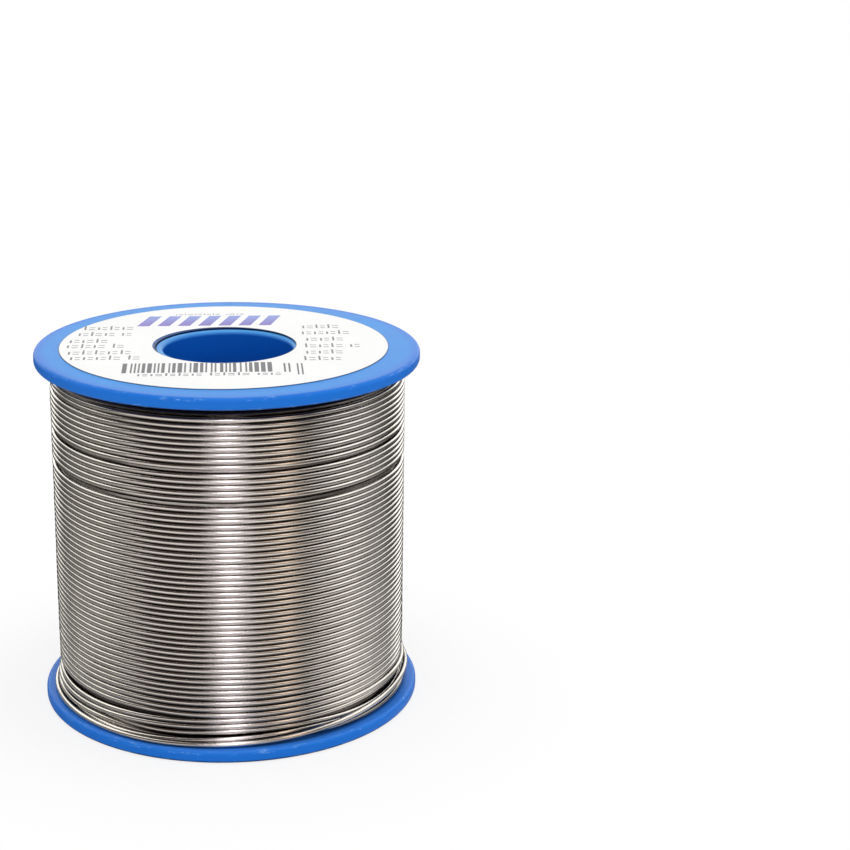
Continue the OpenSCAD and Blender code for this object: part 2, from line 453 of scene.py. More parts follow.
def new_tree(name, inputs):
    """A geometry node tree: the Values of its named inputs, and a Value to build on."""
    tree = bpy.data.node_groups.new(name, "GeometryNodeTree")
    tree.is_modifier = True
    face = tree.interface
    for label, kind, value in inputs:
        made = face.new_socket(label, in_out="INPUT", socket_type="NodeSocket" + kind)
        if value is not None:
            made.default_value = value
    face.new_socket("Piece", in_out="OUTPUT", socket_type="NodeSocketGeometry")
    outputs = tree.nodes.new("NodeGroupInput").outputs
    return {label: Value(tree, outputs[label]) for label, _, _ in inputs}, Value(tree)


def end_tree(start, geometry, material):
    """Ends a geometry node tree in real geometry with its material, and gives the tree."""
    real = start.node("GeometryNodeRealizeInstances", (), {"Geometry": geometry})
    sockets = {"Geometry": real, "Material": material}
    result = start.tree.nodes.new("NodeGroupOutput").inputs["Piece"]
    start.feed(result, start.node("GeometryNodeSetMaterial", (), sockets))
    return start.tree


def worked(piece, tree, values):
    """The piece as the plain mesh that a tree makes of it, its inputs set by identifier."""
    modifier = piece.modifiers.new(tree.name, "NODES")
    modifier.node_group = tree
    for item in tree.interface.items_tree:
        if item.in_out == "INPUT" and item.name in values:
            modifier[item.identifier] = values[item.name]
    return baked(piece)


def new_wound_wire_tree():
    """Turns a path of edges into round wire, with a slight waver along it."""
    given, start = new_tree(
        "wound_wire",
        (
            ("Path", "Geometry", None),
            ("Wire diameter", "Float", DRAWN_D * MM),
            ("Sides", "Int", 12),
            ("Waver", "Float", 0.0),
            ("Waver scale", "Float", 60.0),
            ("Seed", "Float", 1.0),
            ("Metal", "Material", None),
        ),
    )

    def vectors(operation, sockets, out=0):
        return start.node("ShaderNodeVectorMath", {"operation": operation}, sockets, out)

    curve = start.node("GeometryNodeMeshToCurve", (), {"Mesh": given["Path"]})
    drift = start.node(
        "ShaderNodeTexNoise",
        {"noise_dimensions": "4D"},
        {"Scale": given["Waver scale"], "W": given["Seed"]},
        "Color",
    )
    drift = vectors("SUBTRACT", {0: drift, 1: (0.5, 0.5, 0.5)})
    drift = vectors("SCALE", {0: drift, "Scale": given["Waver"]})
    curve = start.node("GeometryNodeSetPosition", (), {"Geometry": curve, "Offset": drift})
    circle = start.node(
        "GeometryNodeCurvePrimitiveCircle",
        (),
        {"Resolution": given["Sides"], "Radius": given["Wire diameter"] * 0.5},
    )
    wire = start.node(
        "GeometryNodeCurveToMesh",
        (),
        {"Curve": curve, "Profile Curve": circle, "Fill Caps": True},
    )
    # How deep a place lies between its neighbours, from which way it faces: 0 out, 1 up or down
    place = start.node("GeometryNodeInputPosition")
    level = vectors("NORMALIZE", {0: vectors("MULTIPLY", {0: place, 1: (1.0, 1.0, 0.0)})})
    outward = vectors("NORMALIZE", {0: vectors("ADD", {0: level, 1: (0.0, 0.0, 0.56)})})
    normal = start.node("GeometryNodeInputNormal")
    facing = vectors("DOT_PRODUCT", {0: normal, 1: outward}, "Value")
    wire = start.node(
        "GeometryNodeStoreNamedAttribute",
        {"data_type": "FLOAT", "domain": "POINT"},
        {"Geometry": wire, "Name": "groove", "Value": facing.between(0.82, 0.36)},
    )
    return end_tree(start, wire, given["Metal"])


wound_wire_tree = new_wound_wire_tree()


def wound_wire(name, path, material, sides, waver=0.0, seed=1.0):
    """A piece of round wire along a path of points in millimetres."""
    mesh = bpy.data.meshes.new(name)
    edges = [(i, i + 1) for i in range(len(path) - 1)]
    mesh.from_pydata([tuple(p * MM) for p in path], edges, [])
    values = {"Sides": sides, "Waver": waver * MM, "Seed": seed, "Metal": material}
    piece = worked(placed(name, mesh), wound_wire_tree, values)
    bm = bmesh.new()
    bm.from_mesh(piece.data)
    bmesh.ops.recalc_face_normals(bm, faces=bm.faces)
    bm.to_mesh(piece.data)
    bm.free()
    piece.data.shade_smooth()
    piece.data.set_sharp_from_angle(angle=math.radians(50))
    return piece


def scalloped_core(layers=18, steps=5):
    """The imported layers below: their turns show as half rounds on both end faces."""
    inner = BARREL_R + 0.05
    step = (CORE_BODY_R - inner) / layers
    outline = []
    for end, sign in ((CORE_BOTTOM, 1), (CORE_TOP, -1)):
        row = []
        for layer in range(layers):
            for k in range(steps):
                a = math.pi * k / steps
                r = inner + step * (layer + 0.5 - 0.5 * math.cos(a))
                depth = step * 0.42 * (1 - math.sin(a))
                row.append(Vector((r, end + sign * (depth + 0.01))))
        row.append(Vector((CORE_BODY_R, end + sign * 0.4)))
        outline += row if sign == 1 else row[::-1]
    return outline


def layer_point(r, azimuth, z):
    a = math.radians(azimuth)
    return np.array([r * math.cos(a), r * math.sin(a), z])


# A darker copy of the outer wire's metal, painted shade for the layer that lies below
under_solder = drawn_solder(
    "solder_under_layer", (0.50, 0.475, 0.45), (0.40, 0.38, 0.355), 0.18, 0.8
)
UNDER_STEPS = 48
UNDER_END_AZIMUTH = RISE_AZIMUTH - 1
LEVEL_SHARE = 0.66
# The level and the height of its bulges, where the outer turns gape
UNDER_BULGES = ((41.48, 0.10), (36.75, 0.18))
# Where its last full turn is pushed out on the left, how far round and how far out
PUSH_AZIMUTH, PUSH_SPREAD, PUSH_OUT = -155, 28, 0.55
under_path = []
for i in range(UNDER_TURNS * UNDER_STEPS + 1):
    turns_left = (UNDER_TURNS * UNDER_STEPS - i) / UNDER_STEPS
    # Level in front, with the step to the next turn behind
    step = min(max((turns_left % 1 - LEVEL_SHARE) / (1 - LEVEL_SHARE), 0.0), 1.0)
    height = LAY_TOP - UNDER_PITCH * (turns_left // 1 + step * step * (3 - 2 * step))
    bulge = sum(out * math.exp(-(((height - at) / 0.3) ** 2)) for at, out in UNDER_BULGES)
    azimuth = UNDER_END_AZIMUTH - 360 * turns_left
    if 1 <= turns_left < 2:
        aside = (azimuth - PUSH_AZIMUTH + 180) % 360 - 180
        bulge += PUSH_OUT * math.exp(-((aside / PUSH_SPREAD) ** 2))
    under_path.append(layer_point(UNDER_R + bulge, azimuth, height))
inner_layers = wound_wire("inner_layers", under_path, under_solder, 7)
core_body = plain_mesh("core_body", turned(scalloped_core(), 144), under_solder, 60.0)
bm = bmesh.new()
bm.from_mesh(inner_layers.data)
bm.from_mesh(core_body.data)
bm.to_mesh(inner_layers.data)
bm.free()
bpy.data.objects.remove(core_body)
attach(inner_layers, "root")
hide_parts("wire_core")

# ==== Outer layer ====
# One unbroken wire of fifty-eight turns. It comes up from the layer below under the upper flange,
# lies in close level turns that step down behind, and ends in nine loose, crossing turns.

LAY_R = 25.0
PER_TURN = 96
FIRST_AZIMUTH = 61.83
FRONT_AZIMUTH = 270.0
# The height at which the wire lies on the flange, and the limits of the loose turns' radius
FLANGE_TOUCH = FLANGE_T + DRAWN_D / 2 + 0.03
LOOSE_R = (24.6, 26.6)
# The level of each close turn from the top, with its two wider steps, in millimetres
close_turns = [48.67]
for step in [0.88] + [0.79] * 5 + [0.85, 0.87, 1.20] + [0.81] * 4 + [1.56] + [0.804] * 34:
    close_turns.append(close_turns[-1] - step)
# How the first two and the nine loose turns lie: degrees from the front, height and radius
first_turns = [
    [(-100, 48.7, 25.0), (0, 48.67, 25.0), (30, 48.6, 24.85), (50, 48.5, 24.65)]
    + [(110, 48.5, 24.8)],
    [(-100, 47.8, 25.0), (-60, 47.82, 24.75), (-30, 47.8, 24.9), (0, 47.79, 25.0)]
    + [(110, 47.79, 25.0)],
]
loose_turns = [
    [(-100, 7.90, 25.0), (110, 7.90, 25.0)],
    [(-100, 7.12, 25.0), (0, 7.00, 25.0), (110, 7.10, 25.0)],
    [(-100, 6.35, 25.0), (-30, 6.34, 25.0), (0, 6.11, 25.0), (50, 6.30, 25.0)]
    + [(110, 6.3, 25.0)],
    [(-100, 5.3, 25.0), (-78, 5.0, 25.1), (-62, 4.85, 25.25), (-35, 5.0, 25.1)]
    + [(-10, 5.3, 25.0), (30, 5.35, 25.0), (50, 5.6, 25.3), (68, 5.85, 25.5)]
    + [(110, 5.5, 25.0)],
    [(-100, 4.5, 25.0), (-78, 3.9, 25.4), (-62, 4.0, 25.4), (-20, 4.4, 25.15)]
    + [(48, 4.85, 25.05), (68, 4.95, 25.05), (110, 4.7, 25.0)],
    [(-100, 3.7, 24.9), (-76, 3.2, 24.8), (-50, 3.3, 24.8), (-27, 3.0, 25.2)]
    + [(-8, 3.6, 25.1), (5, 3.9, 25.0), (20, 3.75, 25.0), (40, 3.2, 25.0)]
    + [(66, 3.1, 25.0), (110, 3.9, 25.0)],
    [(-100, 3.1, 25.1), (-76, 2.7, 25.4), (-50, 2.75, 25.4), (-27, 2.2, 24.8)]
    + [(0, 2.2, 24.65), (20, 2.3, 24.7), (42, 2.3, 25.42), (80, 2.3, 25.42)]
    + [(110, 3.1, 25.1)],
    [(-100, 2.22, 25.0), (-50, 2.2, 25.0), (-27, 2.3, 25.65), (0, 2.62, 25.3)]
    + [(20, 2.6, 25.3), (45, 2.2, 24.62), (80, 2.2, 24.62), (110, 2.25, 24.9)],
    [(-100, 2.22, 25.7), (-62, 2.25, 26.1), (-27, 2.22, 26.4), (0, 2.2, 25.95)]
    + [(24, 2.7, 26.0), (50, 3.65, 26.0), (66, 3.95, 26.0), (80, 4.5, 25.9)]
    + [(110, 3.2, 25.7)],
]
OUTER_TURNS = len(close_turns) + len(loose_turns)


def outer_path():
    """Radius and height along the outer layer, by turns counted from its first azimuth."""
    at, height, radius = [0.0, 0.1], [LAY_TOP, 50.1], [LAY_R, LAY_R]
    jitter = random.Random(7)
    for turn in range(OUTER_TURNS):
        if turn < len(first_turns):
            laid = first_turns[turn]
        elif turn < len(close_turns):
            laid = []
            for front in (-100, -20, 20, 110):
                level = close_turns[turn] + jitter.uniform(-0.022, 0.022)
                laid.append((front, level, LAY_R + jitter.uniform(0.0, 0.05)))
        else:
            laid = loose_turns[turn - len(close_turns)]
        for front, level, out in laid:
            at.append(turn + (front + FRONT_AZIMUTH - FIRST_AZIMUTH) / 360)
            height.append(level)
            radius.append(out)
    # The last turn comes to its end on top of its own beginning
    at += [OUTER_TURNS - 0.04, OUTER_TURNS]
    height += [2.99, 2.98]
    radius += [25.8, 25.8]
    t = np.arange(OUTER_TURNS * PER_TURN + 1) / PER_TURN
    z, r = np.interp(t, at, height), np.interp(t, at, radius)
    return t, soften(z, 4), soften(r, 4)


def soften(values, rounds):
    """Evens out a run of numbers, with its ends kept."""
    kept = values.copy()
    for _ in range(rounds):
        kept[2:-2] = (
            kept[:-4] + 2 * kept[1:-3] + 3 * kept[2:-2] + 2 * kept[3:-1] + kept[4:]
        ) / 9
    return kept


def keep_apart(z, r, first, rounds=160):
    """Lets the loose turns rest on one another, pushed apart where closer than a wire's width."""
    apart = DRAWN_D + 0.012
    count = len(z)
    planned_z, planned_r = z.copy(), r.copy()
    for sweep in range(rounds):
        for hop in range(1, 6):
            near = np.arange(first, count - hop * PER_TURN)
            far = near + hop * PER_TURN
            dz, dr = z[far] - z[near], r[far] - r[near]
            gap = np.maximum(np.hypot(dz, dr), 1e-6)
            short = np.maximum(apart - gap, 0.0) / gap * 0.5
            near_share = np.where(near < len(close_turns) * PER_TURN, 0.0, 1.0)
            z[far] += dz * short * (2 - near_share)
            r[far] += dr * short * (2 - near_share)
            z[near] -= dz * short * near_share
            r[near] -= dr * short * near_share
        if sweep < rounds - 25 and sweep % 4 == 0:
            z[first:] = planned_z[first:] + soften(z[first:] - planned_z[first:], 1)
            r[first:] = planned_r[first:] + soften(r[first:] - planned_r[first:], 1)
        z[:] = np.clip(z, FLANGE_TOUCH, None)
        r[:] = np.clip(r, *LOOSE_R)
    return z, r


turn_at, turn_z, turn_r = outer_path()
turn_z, turn_r = keep_apart(turn_z, turn_r, (len(close_turns) - 1) * PER_TURN)
RISE_STEPS = 12
outer_points = []
for i in range(RISE_STEPS):
    part = i / RISE_STEPS
    lifted = UNDER_R + (LAY_R - UNDER_R) * part * part * (3 - 2 * part)
    azimuth = RISE_AZIMUTH + (FIRST_AZIMUTH - RISE_AZIMUTH) * part
    outer_points.append(layer_point(lifted, azimuth, LAY_TOP))
for t, z, r in zip(turn_at, turn_z, turn_r):
    outer_points.append(layer_point(r, FIRST_AZIMUTH + 360 * t, z))
bright_solder = drawn_solder(
    "solder_bright", (0.68, 0.655, 0.62), (0.60, 0.575, 0.54), 0.11
)
outer_winding = wound_wire(
    "outer_winding", outer_points, bright_solder, 14, waver=0.008, seed=3.0
)
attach(outer_winding, "root")
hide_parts("wire_turns")

# ==== Wire's free end ====
# The end that the user pulls. It springs open from the last turn in a wider curve, up off the
# flange, and was cut off square, so that the rosin core shows in the cut.

TAIL_BEND_R = 28.0
TAIL_LEN = 22.0
TAIL_TILT = 5.0
TAIL_CUT_LEN = 3.0
TAIL_STEPS = 40
FLUX_R = 0.17
# A cut end: how far past the tip its rings lie, and their radii. A burr's round comes first,
# then the flat cut and the bore that the core fills.
CUT_RINGS = (
    (-0.05, DRAWN_D / 2),
    (-0.012, DRAWN_D / 2 - 0.012),
    (0.0, DRAWN_D / 2 - 0.05),
    (1e-4, FLUX_R + 0.015),
    (-0.06, FLUX_R + 0.01),
)


def swept(points, radii, sides=20):
    """Round wire as mesh code: a ring at each point, with its own radius, closed at both ends."""

    def build(bm):
        last = len(points) - 1
        rings = []
        side = along = None
        for i, p in enumerate(points):
            step = Vector(points[min(i + 1, last)] - points[max(i - 1, 0)]).normalized()
            # Where the path turns back into a cut end, its rings keep the way they are turned
            along = -step if along and step.dot(along) < 0 else step
            if side is None:
                side = along.orthogonal().normalized()
            side = (side - along * side.dot(along)).normalized()
            up = along.cross(side)
            ring = []
            for k in range(sides):
                a = 2 * math.pi * k / sides
                edge = Vector(p) + (side * math.cos(a) + up * math.sin(a)) * radii[i]
                ring.append(bm.verts.new(edge * MM))
            rings.append(ring)
        for here, there in zip(rings, rings[1:]):
            for k in range(sides):
                j = (k + 1) % sides
                bm.faces.new((here[k], here[j], there[j], there[k]))
        bm.faces.new(rings[0][::-1])
        bm.faces.new(rings[-1])

    return build


def unit(v):
    return v / np.linalg.norm(v)


def cut_end(points):
    """A path with the rings of a cut face added at its tip, and the radius at each point."""
    along = unit(points[-1] - points[-2])
    rings = [points[-1] + along * past for past, _ in CUT_RINGS]
    radii = [DRAWN_D / 2] * (len(points) - 1) + [radius for _, radius in CUT_RINGS]
    return points[:-1] + rings, radii


end = outer_points[-1]
heading = unit(outer_points[-1] - outer_points[-2])
end_azimuth = math.atan2(end[1], end[0])
tilt = math.radians(TAIL_TILT)
to_axis = np.array(
    [
        -math.cos(tilt) * math.cos(end_azimuth),
        -math.cos(tilt) * math.sin(end_azimuth),
        math.sin(tilt),
    ]
)
inward = unit(to_axis - to_axis.dot(heading) * heading)
tail_centre = end + TAIL_BEND_R * inward
tail_turn = TAIL_LEN / TAIL_BEND_R
tail_points = []
for k in range(TAIL_STEPS + 1):
    a = tail_turn * k / TAIL_STEPS
    outward = math.sin(a) * heading - math.cos(a) * inward
    tail_points.append(tail_centre + TAIL_BEND_R * outward)
tail_heading = math.cos(tail_turn) * heading + math.sin(tail_turn) * inward
for _ in range(2):
    tail_points.append(tail_points[-1] + TAIL_CUT_LEN / 2 * tail_heading)
tail_tip = tail_points[-1]
free_end = plain_mesh("wire_free_end", swept(*cut_end(tail_points)), bright_solder, 40.0)
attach(free_end, "root")
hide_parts("wire_tail")

# ==== Wire's inner end ====
# The first centimetre of wire: down through the start hole, bent over and laid in the slot,
# below the flange's outer face, so that the reel still stands flat.

START_Z = 0.5
START_BEND_R = 0.8
START_BEND_STEPS = 8
turn_to_slot = np.array([math.cos(START_AZIMUTH), math.sin(START_AZIMUTH), 0.0])
up = np.array([0.0, 0.0, 1.0])
foot = START_R * turn_to_slot
start_points = [foot + CORE_BOTTOM * up]
for k in range(START_BEND_STEPS + 1):
    a = math.pi / 2 * k / START_BEND_STEPS
    start_points.append(
        foot
        + START_BEND_R * (1 - math.cos(a)) * turn_to_slot
        + (START_Z + START_BEND_R * (1 - math.sin(a))) * up
    )
for reach in (3.0, 6.0, START_LEN):
    start_points.append(foot + reach * turn_to_slot + START_Z * up)
start_tip = start_points[-1]
inner_end = plain_mesh(
    "wire_inner_end", swept(*cut_end(start_points)), bright_solder, 40.0
)
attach(inner_end, "root")
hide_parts("wire_start")

# ==== Flux core ====
# Amber rosin that fills the wire's middle. It shows as a dot in each of the two cut ends,
# a little below the metal.

rosin, rosin_shader, start = new_finish("amber_rosin", {"IOR": 1.54, "Roughness": 0.2})
grain = noise(place_on_object(start), 6.0, 3.0)
start.feed(
    rosin_shader.inputs["Base Color"],
    grain.between(0.3, 0.7).mix((0.62, 0.30, 0.06), (0.42, 0.17, 0.03)),
)
add_bumps(start, rosin_shader, grain, 0.3, 0.02)


def rosin_plugs(bm):
    """A plug in each cut end: its rings lie behind the tip and end in a slight round."""
    for tip, along in ((tail_tip, tail_heading), (start_tip, turn_to_slot)):
        points = [tip - along * 1.4, tip - along * 0.03, tip - along * 0.012]
        swept(points, [FLUX_R, FLUX_R, FLUX_R * 0.8], 20)(bm)


rosin_core = plain_mesh("rosin_core", rosin_plugs, rosin, 40.0)
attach(rosin_core, "root")
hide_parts("flux_core")

# ==== Upper flange ====
# The same moulded disc as the lower one, pressed on the hub's upper spigot. A fine joint
# shows round the spigot, inside the label's hole, its dark line painted shade.

# Its face towards the wire takes a near-black navy, painted shade under the flange
upper_blue = moulded_blue("moulded_blue_upper", *FLANGE_BLUES, (0.010, 0.018, 0.085))
upper = plain_mesh(
    "upper_flange_moulding", turned(flange_outline(OVERALL_H - FLANGE_T)), upper_blue
)
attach(upper, "root")
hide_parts("upper_flange")

# ==== Face label ====
# A die-cut ring of smooth white self-adhesive paper, stuck on a little off centre. It carries
# plain printed bars only: a heading, two columns of short rows and a block of stripes.

LABEL_R = 23.5
LABEL_HOLE_R = 10.2
LABEL_T = 0.1
LABEL_AT = (-0.5, 0.3)
INK_T = 0.006

paper, paper_shader, start = new_finish("label_paper_white", {"IOR": 1.45})
_, x, y, _ = bearing(start)
from_centre = ((x - LABEL_AT[0]) ** 2 + (y - LABEL_AT[1]) ** 2) ** 0.5
fibres = noise(place_on_object(start, (1.0, 2.6, 1.0)), 1.6, 5.0, 0.65)
tone = noise(place_on_object(start), 0.08, 3.0)
sheet = (fibres * 0.5 + tone * 0.5).between(0.35, 0.65)
# Its two cut edges take a dark blue-grey line, painted shadow at the paper's edges
edge_shade = from_centre.between(LABEL_R - 0.15, LABEL_R - 0.05)
edge_shade = edge_shade + from_centre.between(LABEL_HOLE_R + 0.14, LABEL_HOLE_R + 0.05)
paper_white = sheet.mix((0.90, 0.90, 0.89), (0.95, 0.95, 0.945))
start.feed(paper_shader.inputs["Base Color"], edge_shade.mix(paper_white, (0.07, 0.10, 0.17)))
start.feed(paper_shader.inputs["Roughness"], 0.42 + fibres * 0.16)
add_bumps(start, paper_shader, fibres + tone * 2, 0.12, 0.03)
label_corners = [
    (LABEL_HOLE_R, OVERALL_H + 0.002, 0),
    (LABEL_R, OVERALL_H + 0.002, 0),
    (LABEL_R, OVERALL_H + LABEL_T - INK_T, 0.03),
    (LABEL_HOLE_R, OVERALL_H + LABEL_T - INK_T, 0.03),
]
label = plain_mesh(
    "label_ring",
    turned(rounded_outline(label_corners, steps=3, support=0.02), centre=LABEL_AT),
    paper,
)
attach(label, "root")
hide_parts("face_label")


def new_print_tree():
    """Puts a flat bar on each point, by the point's own width and height."""
    given, start = new_tree(
        "printed_bars",
        (
            ("Points", "Geometry", None),
            ("Ink thickness", "Float", INK_T * MM),
            ("Ink", "Material", None),
        ),
    )
    size = start.node("ShaderNodeCombineXYZ", (), {0: MM, 1: MM, 2: given["Ink thickness"]})
    bar = start.node("GeometryNodeMeshCube", (), {"Size": size})
    bar_size = start.node(
        "GeometryNodeInputNamedAttribute",
        {"data_type": "FLOAT_VECTOR"},
        {"Name": "bar_size"},
        "Attribute",
    )
    bars = start.node(
        "GeometryNodeInstanceOnPoints",
        (),
        {"Points": given["Points"], "Instance": bar, "Scale": bar_size},
    )
    return end_tree(start, bars, given["Ink"])


print_tree = new_print_tree()


def printed(name, bars, material):
    """A piece of flat bars, each given by its middle and its size on the label, in millimetres."""
    mesh = bpy.data.meshes.new(name)
    level = OVERALL_H + LABEL_T - INK_T / 2
    mesh.from_pydata([(x * MM, y * MM, level * MM) for x, y, _, _ in bars], [], [])
    sizes = mesh.attributes.new("bar_size", "FLOAT_VECTOR", "POINT")
    sizes.data.foreach_set("vector", [n for _, _, w, h in bars for n in (w, h, 1.0)])
    return worked(placed(name, mesh), print_tree, {"Ink": material})


def printing_ink(name, colour, other):
    """Worn printing ink, which turns from one colour to the other towards the label's far edge."""
    material, shader, start = new_finish(name, {"IOR": 1.5})
    _, _, y, _ = bearing(start)
    wear = noise(place_on_object(start), 4.0, 3.0)
    upper = (y + wear * 2).between(11.5, 19.5)
    start.feed(shader.inputs["Base Color"], upper.mix(colour, other))
    start.feed(shader.inputs["Roughness"], 0.38 + wear * 0.2)
    return material


def word_row(middle_y, left, right, tall, draw, pen=0.27):
    """A row of plain marks in a few groups: upright strokes and pairs of level dashes by turns."""
    marks = []
    x = left
    in_group = draw.randint(3, 5)
    while x < right - 3 * pen:
        high = tall * draw.choice((0.66, 1.0))
        marks.append((x + pen / 2, middle_y + (high - tall) / 2, pen, high))
        x += 2.4 * pen
        dash = draw.choice((0.7, 0.9))
        for lift in (-0.42, 0.10):
            marks.append((x + dash / 2, middle_y + lift * tall, dash, pen))
        x += dash + 1.6 * pen
        in_group -= 1
        if in_group == 0:
            x += 0.7
            in_group = draw.randint(3, 5)
    return marks


draw = random.Random(11)
rows = [
    (10.6, -21.0, -14.1),
    (7.1, -21.6, -14.4),
    (3.1, -22.6, -16.3),
    (0.2, -22.8, -14.9),
    (-3.4, -22.4, -13.5),
    (-6.4, -21.9, -11.5),
    (10.5, 11.0, 15.6),
    (6.9, 10.8, 17.9),
    (3.1, 11.3, 17.4),
    (-0.7, 11.0, 18.7),
    (-4.2, 11.0, 16.2),
    (-7.8, 10.6, 15.9),
]
fine_strokes = []
for middle, left, right in rows:
    fine_strokes += word_row(middle, left, right, 2.2, draw)
fine_strokes += word_row(18.6, -7.8, 2.7, 0.9, draw, 0.16)
fine_strokes += word_row(-15.6, -12.3, 7.4, 1.4, draw)
stripes = []
stripe_x = -14.5
while stripe_x < 6.4:
    wide = draw.choice((0.24, 0.24, 0.45, 0.62))
    stripes.append((stripe_x + wide / 2, -12.2, wide, 5.0))
    stripe_x += wide + draw.choice((0.28, 0.28, 0.5))
for stripe_x in (7.7, 8.35):
    stripes.append((stripe_x, -12.6, 0.26, 4.6))
for stripe_x in (9.5, 10.1):
    stripes.append((stripe_x, -13.4, 0.22, 5.8))
grey_ink = printing_ink("grey_print", (0.13, 0.13, 0.14), (0.20, 0.20, 0.21))
label_print = printed("label_print", fine_strokes, grey_ink)
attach(label_print, "root")
dark_ink = printing_ink("dark_print", (0.075, 0.075, 0.085), (0.075, 0.075, 0.085))
label_stripes = printed("label_stripes", stripes, dark_ink)
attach(label_stripes, "root")
blue_ink = printing_ink("violet_print", (0.17, 0.11, 0.45), (0.22, 0.30, 0.68))


def slanted_bars(
    bm, count=7, left=-13.4, right=8.0, low=11.5, high=17.5, slant=1.7, wide=1.8
):
    """The heading: a band of plain slanted bars across the label, behind the bore."""
    pitch = (right - left - slant - wide) / (count - 1)
    below, above = OVERALL_H + LABEL_T - INK_T, OVERALL_H + LABEL_T
    for k in range(count):
        x = left + pitch * k
        flat = [(x, low), (x + wide, low), (x + wide + slant, high), (x + slant, high)]
        base = [bm.verts.new((px * MM, py * MM, below * MM)) for px, py in flat]
        top = [bm.verts.new((px * MM, py * MM, above * MM)) for px, py in flat]
        bm.faces.new(base[::-1])
        bm.faces.new(top)
        for i in range(4):
            j = (i + 1) % 4
            bm.faces.new((base[i], base[j], top[j], top[i]))


label_heading = plain_mesh("label_heading", slanted_bars, blue_ink)
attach(label_heading, "root")

# ==== Studio ====
# A pale floor and backdrop and soft overhead and side light. The bright metal mirrors a room
# with a tall window, a warm wall and a dark side round the front. None of it is the object.

FLOOR_COLOUR = (0.95, 0.95, 0.95)
FLOOR_REACH = 3.0
WINDOW_AT = -1.5


def seen_directly(start):
    """1 for what the camera, a mirror reflection or glass shows, 0 for light on a surface."""
    rays = ("Is Camera Ray", "Is Glossy Ray", "Is Transmission Ray")
    return sum(start.node("ShaderNodeLightPath", out=ray) for ray in rays).clamp()


def tones(start, stops):
    """A colour by the way round the reel, from (degrees, colour) stops."""
    round_at = bearing(start)[0]
    return start.node(
        "ShaderNodeValToRGB",
        {"stops": [(0.5 + degrees / 360, colour) for degrees, colour in stops]},
        {"Fac": round_at * (1 / 360) + 0.5},
    )


floor_finish, floor_shader, start = new_finish(
    "pale_floor", {"Base Color": (*FLOOR_COLOUR, 1.0), "Roughness": 0.9}
)
mirrored_floor = tones(
    start,
    [
        (-180, (1.10, 1.10, 1.08)),
        (-168, (0.60, 0.60, 0.58)),
        (-154, (0.05, 0.05, 0.048)),
        (-134, (0.06, 0.06, 0.057)),
        (-116, (0.27, 0.27, 0.25)),
        (-84, (0.46, 0.45, 0.42)),
        (-66, (0.62, 0.60, 0.57)),
        (-50, (1.04, 1.00, 0.97)),
        (-18, (1.06, 1.01, 0.99)),
        (-8, (0.78, 0.74, 0.75)),
        (3, (0.80, 0.76, 0.77)),
        (13, (1.22, 1.16, 1.12)),
        (37, (1.22, 1.15, 1.09)),
        (60, (0.98, 0.95, 0.91)),
        (84, (0.52, 0.51, 0.50)),
        (108, (0.34, 0.34, 0.33)),
        (120, (0.05, 0.05, 0.048)),
        (134, (0.05, 0.05, 0.048)),
        (150, (0.50, 0.50, 0.49)),
        (160, (1.10, 1.10, 1.08)),
        (180, (1.10, 1.10, 1.08)),
    ],
)
round_at, x, y, _ = bearing(start)
out = (x * x + y * y) ** 0.5
# In a mirror it is darker close to the reel in front, a painted shadow of the reel, and far off at
# both sides
near = 1 - out.between(26.0, 66.0)
glare = 1 - abs(round_at - WINDOW_AT).between(2.0, 9.0)
lit = round_at.between(30.0, 48.0) + (-round_at).between(66.0, 92.0) + glare
near = near * (0.88 - lit * 0.62)
mirrored_floor = near.mix(mirrored_floor, (0.0, 0.0, 0.0))
behind = abs(round_at).between(140.0, 160.0)
sides = round_at.between(24.0, 44.0) + (-round_at).between(64.0, 84.0)
on_right = round_at.between(24.0, 40.0) * (1 - round_at.between(70.0, 90.0))
far = out.between(56.0, 125.0) * sides * (1 - behind) * (0.72 + on_right * 0.20)
mirrored_floor = far.mix(mirrored_floor, (0.09, 0.085, 0.08))
in_mirror = start.node("ShaderNodeLightPath", out="Is Glossy Ray")
floor_tone = in_mirror.mix((1.0, 1.0, 1.0), mirrored_floor)
white = start.node("ShaderNodeEmission", (), {"Color": floor_tone, "Strength": 1.0})
away = out.between(28.5, 60.0)
mixed = start.node(
    "ShaderNodeMixShader",
    (),
    {
        0: seen_directly(start) * (0.80 + away * 0.20),
        1: Value(start.tree, floor_shader.outputs[0]),
        2: white,
    },
)
start.feed(floor_finish.node_tree.nodes["Material Output"].inputs[0], mixed)


def floor_mesh(bm):
    bmesh.ops.create_grid(bm, x_segments=4, y_segments=4, size=FLOOR_REACH)


floor = plain_mesh("floor", floor_mesh, floor_finish)

